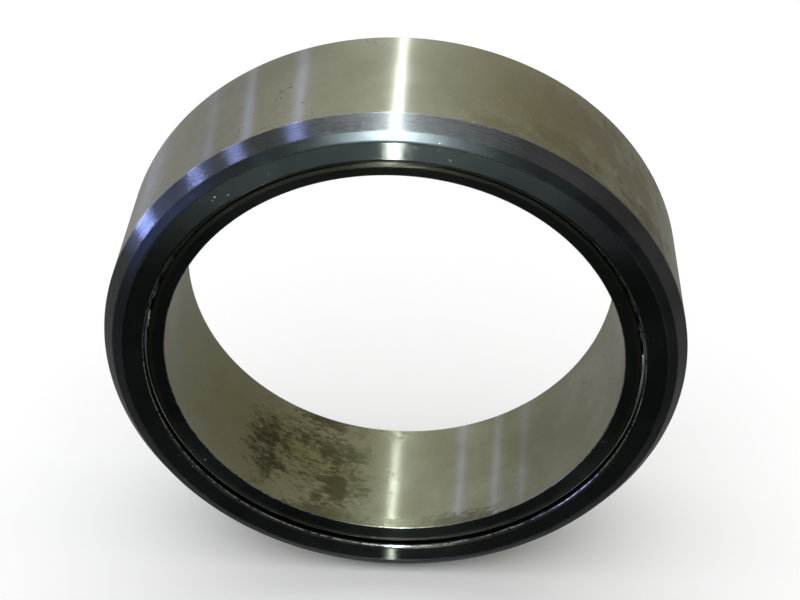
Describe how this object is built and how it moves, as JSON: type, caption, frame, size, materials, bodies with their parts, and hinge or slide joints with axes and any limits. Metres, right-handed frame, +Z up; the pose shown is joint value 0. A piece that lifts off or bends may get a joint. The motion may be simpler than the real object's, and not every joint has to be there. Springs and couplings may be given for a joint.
{
  "type": "spherical roller bearing",
  "caption": "Large thin-section double-row spherical roller bearing with steel side shields and a straight ground bore.",
  "frame": {"origin": "centre of the bearing, on its axis and midway between its sides", "axes": "+Y along the bearing's axis towards the back side, +Z up, the front side faces -Y"},
  "size_m": [0.33, 0.098, 0.33],
  "materials": {
    "ground_steel": "ground, with dark blackened bevels and sides",
    "blackened_steel": "blackened, fine turned",
    "roller_steel": "fine ground",
    "cage_steel": "pressed, satin",
    "seal_rubber": "matte moulded"
  },
  "bodies": {
    "outer_ring": {"outer_ring": "ground_steel", "front_shield": "blackened_steel", "back_shield": "blackened_steel", "front_sealing_ring": "seal_rubber", "back_sealing_ring": "seal_rubber"},
    "guide_ring": {"guide_ring": "cage_steel"},
    "inner_ring": {"inner_ring": "ground_steel"},
    "front_cage": {"front_cage": "cage_steel", "front_rollers": "roller_steel"},
    "front_roller_01": {"front_roller_01": "roller_steel"},
    "front_roller_02": {"front_roller_02": "roller_steel"},
    "front_roller_03": {"front_roller_03": "roller_steel"},
    "front_roller_04": {"front_roller_04": "roller_steel"},
    "front_roller_05": {"front_roller_05": "roller_steel"},
    "front_roller_06": {"front_roller_06": "roller_steel"},
    "front_roller_07": {"front_roller_07": "roller_steel"},
    "front_roller_08": {"front_roller_08": "roller_steel"},
    "front_roller_09": {"front_roller_09": "roller_steel"},
    "front_roller_10": {"front_roller_10": "roller_steel"},
    "front_roller_11": {"front_roller_11": "roller_steel"},
    "front_roller_12": {"front_roller_12": "roller_steel"},
    "front_roller_13": {"front_roller_13": "roller_steel"},
    "front_roller_14": {"front_roller_14": "roller_steel"},
    "front_roller_15": {"front_roller_15": "roller_steel"},
    "front_roller_16": {"front_roller_16": "roller_steel"},
    "front_roller_17": {"front_roller_17": "roller_steel"},
    "front_roller_18": {"front_roller_18": "roller_steel"},
    "front_roller_19": {"front_roller_19": "roller_steel"},
    "front_roller_20": {"front_roller_20": "roller_steel"},
    "front_roller_21": {"front_roller_21": "roller_steel"},
    "back_cage": {"back_cage": "cage_steel", "back_rollers": "roller_steel"},
    "back_roller_01": {"back_roller_01": "roller_steel"},
    "back_roller_02": {"back_roller_02": "roller_steel"},
    "back_roller_03": {"back_roller_03": "roller_steel"},
    "back_roller_04": {"back_roller_04": "roller_steel"},
    "back_roller_05": {"back_roller_05": "roller_steel"},
    "back_roller_06": {"back_roller_06": "roller_steel"},
    "back_roller_07": {"back_roller_07": "roller_steel"},
    "back_roller_08": {"back_roller_08": "roller_steel"},
    "back_roller_09": {"back_roller_09": "roller_steel"},
    "back_roller_10": {"back_roller_10": "roller_steel"},
    "back_roller_11": {"back_roller_11": "roller_steel"},
    "back_roller_12": {"back_roller_12": "roller_steel"},
    "back_roller_13": {"back_roller_13": "roller_steel"},
    "back_roller_14": {"back_roller_14": "roller_steel"},
    "back_roller_15": {"back_roller_15": "roller_steel"},
    "back_roller_16": {"back_roller_16": "roller_steel"},
    "back_roller_17": {"back_roller_17": "roller_steel"},
    "back_roller_18": {"back_roller_18": "roller_steel"},
    "back_roller_19": {"back_roller_19": "roller_steel"},
    "back_roller_20": {"back_roller_20": "roller_steel"},
    "back_roller_21": {"back_roller_21": "roller_steel"}
  },
  "joints": [
    {"name": "aligning_tilt", "type": "hinge", "parent": "outer_ring", "child": "guide_ring", "pos_m": [0, 0, 0], "axis": [1, 0, 0], "range_deg": [-0.5, 0.5]},
    {"name": "inner_ring_spin", "type": "hinge", "parent": "guide_ring", "child": "inner_ring", "pos_m": [0, 0, 0], "axis": [0, 1, 0], "continuous": true},
    {"name": "front_cage_orbit", "type": "hinge", "parent": "guide_ring", "child": "front_cage", "pos_m": [0, 0, 0], "axis": [0, 1, 0], "continuous": true},
    {"name": "front_roller_01_spin", "type": "hinge", "parent": "front_cage", "child": "front_roller_01", "pos_m": [0.14693, -0.01856, 0], "axis": [0.1253, 0.9921, 0], "continuous": true},
    {"name": "front_roller_02_spin", "type": "hinge", "parent": "front_cage", "child": "front_roller_02", "pos_m": [0.1404, -0.01856, -0.04331], "axis": [0.1198, 0.9921, -0.0369], "continuous": true},
    {"name": "front_roller_03_spin", "type": "hinge", "parent": "front_cage", "child": "front_roller_03", "pos_m": [0.1214, -0.01856, -0.08277], "axis": [0.1036, 0.9921, -0.0706], "continuous": true},
    {"name": "front_roller_04_spin", "type": "hinge", "parent": "front_cage", "child": "front_roller_04", "pos_m": [0.09161, -0.01856, -0.11488], "axis": [0.0781, 0.9921, -0.098], "continuous": true},
    {"name": "front_roller_05_spin", "type": "hinge", "parent": "front_cage", "child": "front_roller_05", "pos_m": [0.05368, -0.01856, -0.13678], "axis": [0.0458, 0.9921, -0.1167], "continuous": true},
    {"name": "front_roller_06_spin", "type": "hinge", "parent": "front_cage", "child": "front_roller_06", "pos_m": [0.01098, -0.01856, -0.14652], "axis": [0.0094, 0.9921, -0.125], "continuous": true},
    {"name": "front_roller_07_spin", "type": "hinge", "parent": "front_cage", "child": "front_roller_07", "pos_m": [-0.0327, -0.01856, -0.14325], "axis": [-0.0279, 0.9921, -0.1222], "continuous": true},
    {"name": "front_roller_08_spin", "type": "hinge", "parent": "front_cage", "child": "front_roller_08", "pos_m": [-0.07347, -0.01856, -0.12725], "axis": [-0.0627, 0.9921, -0.1085], "continuous": true},
    {"name": "front_roller_09_spin", "type": "hinge", "parent": "front_cage", "child": "front_roller_09", "pos_m": [-0.10771, -0.01856, -0.09994], "axis": [-0.0919, 0.9921, -0.0852], "continuous": true},
    {"name": "front_roller_10_spin", "type": "hinge", "parent": "front_cage", "child": "front_roller_10", "pos_m": [-0.13238, -0.01856, -0.06375], "axis": [-0.1129, 0.9921, -0.0544], "continuous": true},
    {"name": "front_roller_11_spin", "type": "hinge", "parent": "front_cage", "child": "front_roller_11", "pos_m": [-0.14529, -0.01856, -0.0219], "axis": [-0.1239, 0.9921, -0.0187], "continuous": true},
    {"name": "front_roller_12_spin", "type": "hinge", "parent": "front_cage", "child": "front_roller_12", "pos_m": [-0.14529, -0.01856, 0.0219], "axis": [-0.1239, 0.9921, 0.0187], "continuous": true},
    {"name": "front_roller_13_spin", "type": "hinge", "parent": "front_cage", "child": "front_roller_13", "pos_m": [-0.13238, -0.01856, 0.06375], "axis": [-0.1129, 0.9921, 0.0544], "continuous": true},
    {"name": "front_roller_14_spin", "type": "hinge", "parent": "front_cage", "child": "front_roller_14", "pos_m": [-0.10771, -0.01856, 0.09994], "axis": [-0.0919, 0.9921, 0.0852], "continuous": true},
    {"name": "front_roller_15_spin", "type": "hinge", "parent": "front_cage", "child": "front_roller_15", "pos_m": [-0.07347, -0.01856, 0.12725], "axis": [-0.0627, 0.9921, 0.1085], "continuous": true},
    {"name": "front_roller_16_spin", "type": "hinge", "parent": "front_cage", "child": "front_roller_16", "pos_m": [-0.0327, -0.01856, 0.14325], "axis": [-0.0279, 0.9921, 0.1222], "continuous": true},
    {"name": "front_roller_17_spin", "type": "hinge", "parent": "front_cage", "child": "front_roller_17", "pos_m": [0.01098, -0.01856, 0.14652], "axis": [0.0094, 0.9921, 0.125], "continuous": true},
    {"name": "front_roller_18_spin", "type": "hinge", "parent": "front_cage", "child": "front_roller_18", "pos_m": [0.05368, -0.01856, 0.13678], "axis": [0.0458, 0.9921, 0.1167], "continuous": true},
    {"name": "front_roller_19_spin", "type": "hinge", "parent": "front_cage", "child": "front_roller_19", "pos_m": [0.09161, -0.01856, 0.11488], "axis": [0.0781, 0.9921, 0.098], "continuous": true},
    {"name": "front_roller_20_spin", "type": "hinge", "parent": "front_cage", "child": "front_roller_20", "pos_m": [0.1214, -0.01856, 0.08277], "axis": [0.1036, 0.9921, 0.0706], "continuous": true},
    {"name": "front_roller_21_spin", "type": "hinge", "parent": "front_cage", "child": "front_roller_21", "pos_m": [0.1404, -0.01856, 0.04331], "axis": [0.1198, 0.9921, 0.0369], "continuous": true},
    {"name": "back_cage_orbit", "type": "hinge", "parent": "guide_ring", "child": "back_cage", "pos_m": [0, 0, 0], "axis": [0, 1, 0], "continuous": true},
    {"name": "back_roller_01_spin", "type": "hinge", "parent": "back_cage", "child": "back_roller_01", "pos_m": [0.14652, 0.01856, -0.01098], "axis": [-0.125, 0.9921, 0.0094], "continuous": true},
    {"name": "back_roller_02_spin", "type": "hinge", "parent": "back_cage", "child": "back_roller_02", "pos_m": [0.13678, 0.01856, -0.05368], "axis": [-0.1167, 0.9921, 0.0458], "continuous": true},
    {"name": "back_roller_03_spin", "type": "hinge", "parent": "back_cage", "child": "back_roller_03", "pos_m": [0.11488, 0.01856, -0.09161], "axis": [-0.098, 0.9921, 0.0781], "continuous": true},
    {"name": "back_roller_04_spin", "type": "hinge", "parent": "back_cage", "child": "back_roller_04", "pos_m": [0.08277, 0.01856, -0.1214], "axis": [-0.0706, 0.9921, 0.1036], "continuous": true},
    {"name": "back_roller_05_spin", "type": "hinge", "parent": "back_cage", "child": "back_roller_05", "pos_m": [0.04331, 0.01856, -0.1404], "axis": [-0.0369, 0.9921, 0.1198], "continuous": true},
    {"name": "back_roller_06_spin", "type": "hinge", "parent": "back_cage", "child": "back_roller_06", "pos_m": [0, 0.01856, -0.14693], "axis": [0, 0.9921, 0.1253], "continuous": true},
    {"name": "back_roller_07_spin", "type": "hinge", "parent": "back_cage", "child": "back_roller_07", "pos_m": [-0.04331, 0.01856, -0.1404], "axis": [0.0369, 0.9921, 0.1198], "continuous": true},
    {"name": "back_roller_08_spin", "type": "hinge", "parent": "back_cage", "child": "back_roller_08", "pos_m": [-0.08277, 0.01856, -0.1214], "axis": [0.0706, 0.9921, 0.1036], "continuous": true},
    {"name": "back_roller_09_spin", "type": "hinge", "parent": "back_cage", "child": "back_roller_09", "pos_m": [-0.11488, 0.01856, -0.09161], "axis": [0.098, 0.9921, 0.0781], "continuous": true},
    {"name": "back_roller_10_spin", "type": "hinge", "parent": "back_cage", "child": "back_roller_10", "pos_m": [-0.13678, 0.01856, -0.05368], "axis": [0.1167, 0.9921, 0.0458], "continuous": true},
    {"name": "back_roller_11_spin", "type": "hinge", "parent": "back_cage", "child": "back_roller_11", "pos_m": [-0.14652, 0.01856, -0.01098], "axis": [0.125, 0.9921, 0.0094], "continuous": true},
    {"name": "back_roller_12_spin", "type": "hinge", "parent": "back_cage", "child": "back_roller_12", "pos_m": [-0.14325, 0.01856, 0.0327], "axis": [0.1222, 0.9921, -0.0279], "continuous": true},
    {"name": "back_roller_13_spin", "type": "hinge", "parent": "back_cage", "child": "back_roller_13", "pos_m": [-0.12725, 0.01856, 0.07347], "axis": [0.1085, 0.9921, -0.0627], "continuous": true},
    {"name": "back_roller_14_spin", "type": "hinge", "parent": "back_cage", "child": "back_roller_14", "pos_m": [-0.09994, 0.01856, 0.10771], "axis": [0.0852, 0.9921, -0.0919], "continuous": true},
    {"name": "back_roller_15_spin", "type": "hinge", "parent": "back_cage", "child": "back_roller_15", "pos_m": [-0.06375, 0.01856, 0.13238], "axis": [0.0544, 0.9921, -0.1129], "continuous": true},
    {"name": "back_roller_16_spin", "type": "hinge", "parent": "back_cage", "child": "back_roller_16", "pos_m": [-0.0219, 0.01856, 0.14529], "axis": [0.0187, 0.9921, -0.1239], "continuous": true},
    {"name": "back_roller_17_spin", "type": "hinge", "parent": "back_cage", "child": "back_roller_17", "pos_m": [0.0219, 0.01856, 0.14529], "axis": [-0.0187, 0.9921, -0.1239], "continuous": true},
    {"name": "back_roller_18_spin", "type": "hinge", "parent": "back_cage", "child": "back_roller_18", "pos_m": [0.06375, 0.01856, 0.13238], "axis": [-0.0544, 0.9921, -0.1129], "continuous": true},
    {"name": "back_roller_19_spin", "type": "hinge", "parent": "back_cage", "child": "back_roller_19", "pos_m": [0.09994, 0.01856, 0.10771], "axis": [-0.0852, 0.9921, -0.0919], "continuous": true},
    {"name": "back_roller_20_spin", "type": "hinge", "parent": "back_cage", "child": "back_roller_20", "pos_m": [0.12725, 0.01856, 0.07347], "axis": [-0.1085, 0.9921, -0.0627], "continuous": true},
    {"name": "back_roller_21_spin", "type": "hinge", "parent": "back_cage", "child": "back_roller_21", "pos_m": [0.14325, 0.01856, 0.0327], "axis": [-0.1222, 0.9921, -0.0279], "continuous": true}
  ],
  "couplings": [
    {"joint": "front_cage_orbit", "follows": "inner_ring_spin", "ratio": 0.46995},
    {"joint": "front_roller_01_spin", "follows": "inner_ring_spin", "ratio": -8.4139},
    {"joint": "front_roller_02_spin", "follows": "inner_ring_spin", "ratio": -8.4139},
    {"joint": "front_roller_03_spin", "follows": "inner_ring_spin", "ratio": -8.4139},
    {"joint": "front_roller_04_spin", "follows": "inner_ring_spin", "ratio": -8.4139},
    {"joint": "front_roller_05_spin", "follows": "inner_ring_spin", "ratio": -8.4139},
    {"joint": "front_roller_06_spin", "follows": "inner_ring_spin", "ratio": -8.4139},
    {"joint": "front_roller_07_spin", "follows": "inner_ring_spin", "ratio": -8.4139},
    {"joint": "front_roller_08_spin", "follows": "inner_ring_spin", "ratio": -8.4139},
    {"joint": "front_roller_09_spin", "follows": "inner_ring_spin", "ratio": -8.4139},
    {"joint": "front_roller_10_spin", "follows": "inner_ring_spin", "ratio": -8.4139},
    {"joint": "front_roller_11_spin", "follows": "inner_ring_spin", "ratio": -8.4139},
    {"joint": "front_roller_12_spin", "follows": "inner_ring_spin", "ratio": -8.4139},
    {"joint": "front_roller_13_spin", "follows": "inner_ring_spin", "ratio": -8.4139},
    {"joint": "front_roller_14_spin", "follows": "inner_ring_spin", "ratio": -8.4139},
    {"joint": "front_roller_15_spin", "follows": "inner_ring_spin", "ratio": -8.4139},
    {"joint": "front_roller_16_spin", "follows": "inner_ring_spin", "ratio": -8.4139},
    {"joint": "front_roller_17_spin", "follows": "inner_ring_spin", "ratio": -8.4139},
    {"joint": "front_roller_18_spin", "follows": "inner_ring_spin", "ratio": -8.4139},
    {"joint": "front_roller_19_spin", "follows": "inner_ring_spin", "ratio": -8.4139},
    {"joint": "front_roller_20_spin", "follows": "inner_ring_spin", "ratio": -8.4139},
    {"joint": "front_roller_21_spin", "follows": "inner_ring_spin", "ratio": -8.4139},
    {"joint": "back_cage_orbit", "follows": "inner_ring_spin", "ratio": 0.46995},
    {"joint": "back_roller_01_spin", "follows": "inner_ring_spin", "ratio": -8.4139},
    {"joint": "back_roller_02_spin", "follows": "inner_ring_spin", "ratio": -8.4139},
    {"joint": "back_roller_03_spin", "follows": "inner_ring_spin", "ratio": -8.4139},
    {"joint": "back_roller_04_spin", "follows": "inner_ring_spin", "ratio": -8.4139},
    {"joint": "back_roller_05_spin", "follows": "inner_ring_spin", "ratio": -8.4139},
    {"joint": "back_roller_06_spin", "follows": "inner_ring_spin", "ratio": -8.4139},
    {"joint": "back_roller_07_spin", "follows": "inner_ring_spin", "ratio": -8.4139},
    {"joint": "back_roller_08_spin", "follows": "inner_ring_spin", "ratio": -8.4139},
    {"joint": "back_roller_09_spin", "follows": "inner_ring_spin", "ratio": -8.4139},
    {"joint": "back_roller_10_spin", "follows": "inner_ring_spin", "ratio": -8.4139},
    {"joint": "back_roller_11_spin", "follows": "inner_ring_spin", "ratio": -8.4139},
    {"joint": "back_roller_12_spin", "follows": "inner_ring_spin", "ratio": -8.4139},
    {"joint": "back_roller_13_spin", "follows": "inner_ring_spin", "ratio": -8.4139},
    {"joint": "back_roller_14_spin", "follows": "inner_ring_spin", "ratio": -8.4139},
    {"joint": "back_roller_15_spin", "follows": "inner_ring_spin", "ratio": -8.4139},
    {"joint": "back_roller_16_spin", "follows": "inner_ring_spin", "ratio": -8.4139},
    {"joint": "back_roller_17_spin", "follows": "inner_ring_spin", "ratio": -8.4139},
    {"joint": "back_roller_18_spin", "follows": "inner_ring_spin", "ratio": -8.4139},
    {"joint": "back_roller_19_spin", "follows": "inner_ring_spin", "ratio": -8.4139},
    {"joint": "back_roller_20_spin", "follows": "inner_ring_spin", "ratio": -8.4139},
    {"joint": "back_roller_21_spin", "follows": "inner_ring_spin", "ratio": -8.4139}
  ]
}
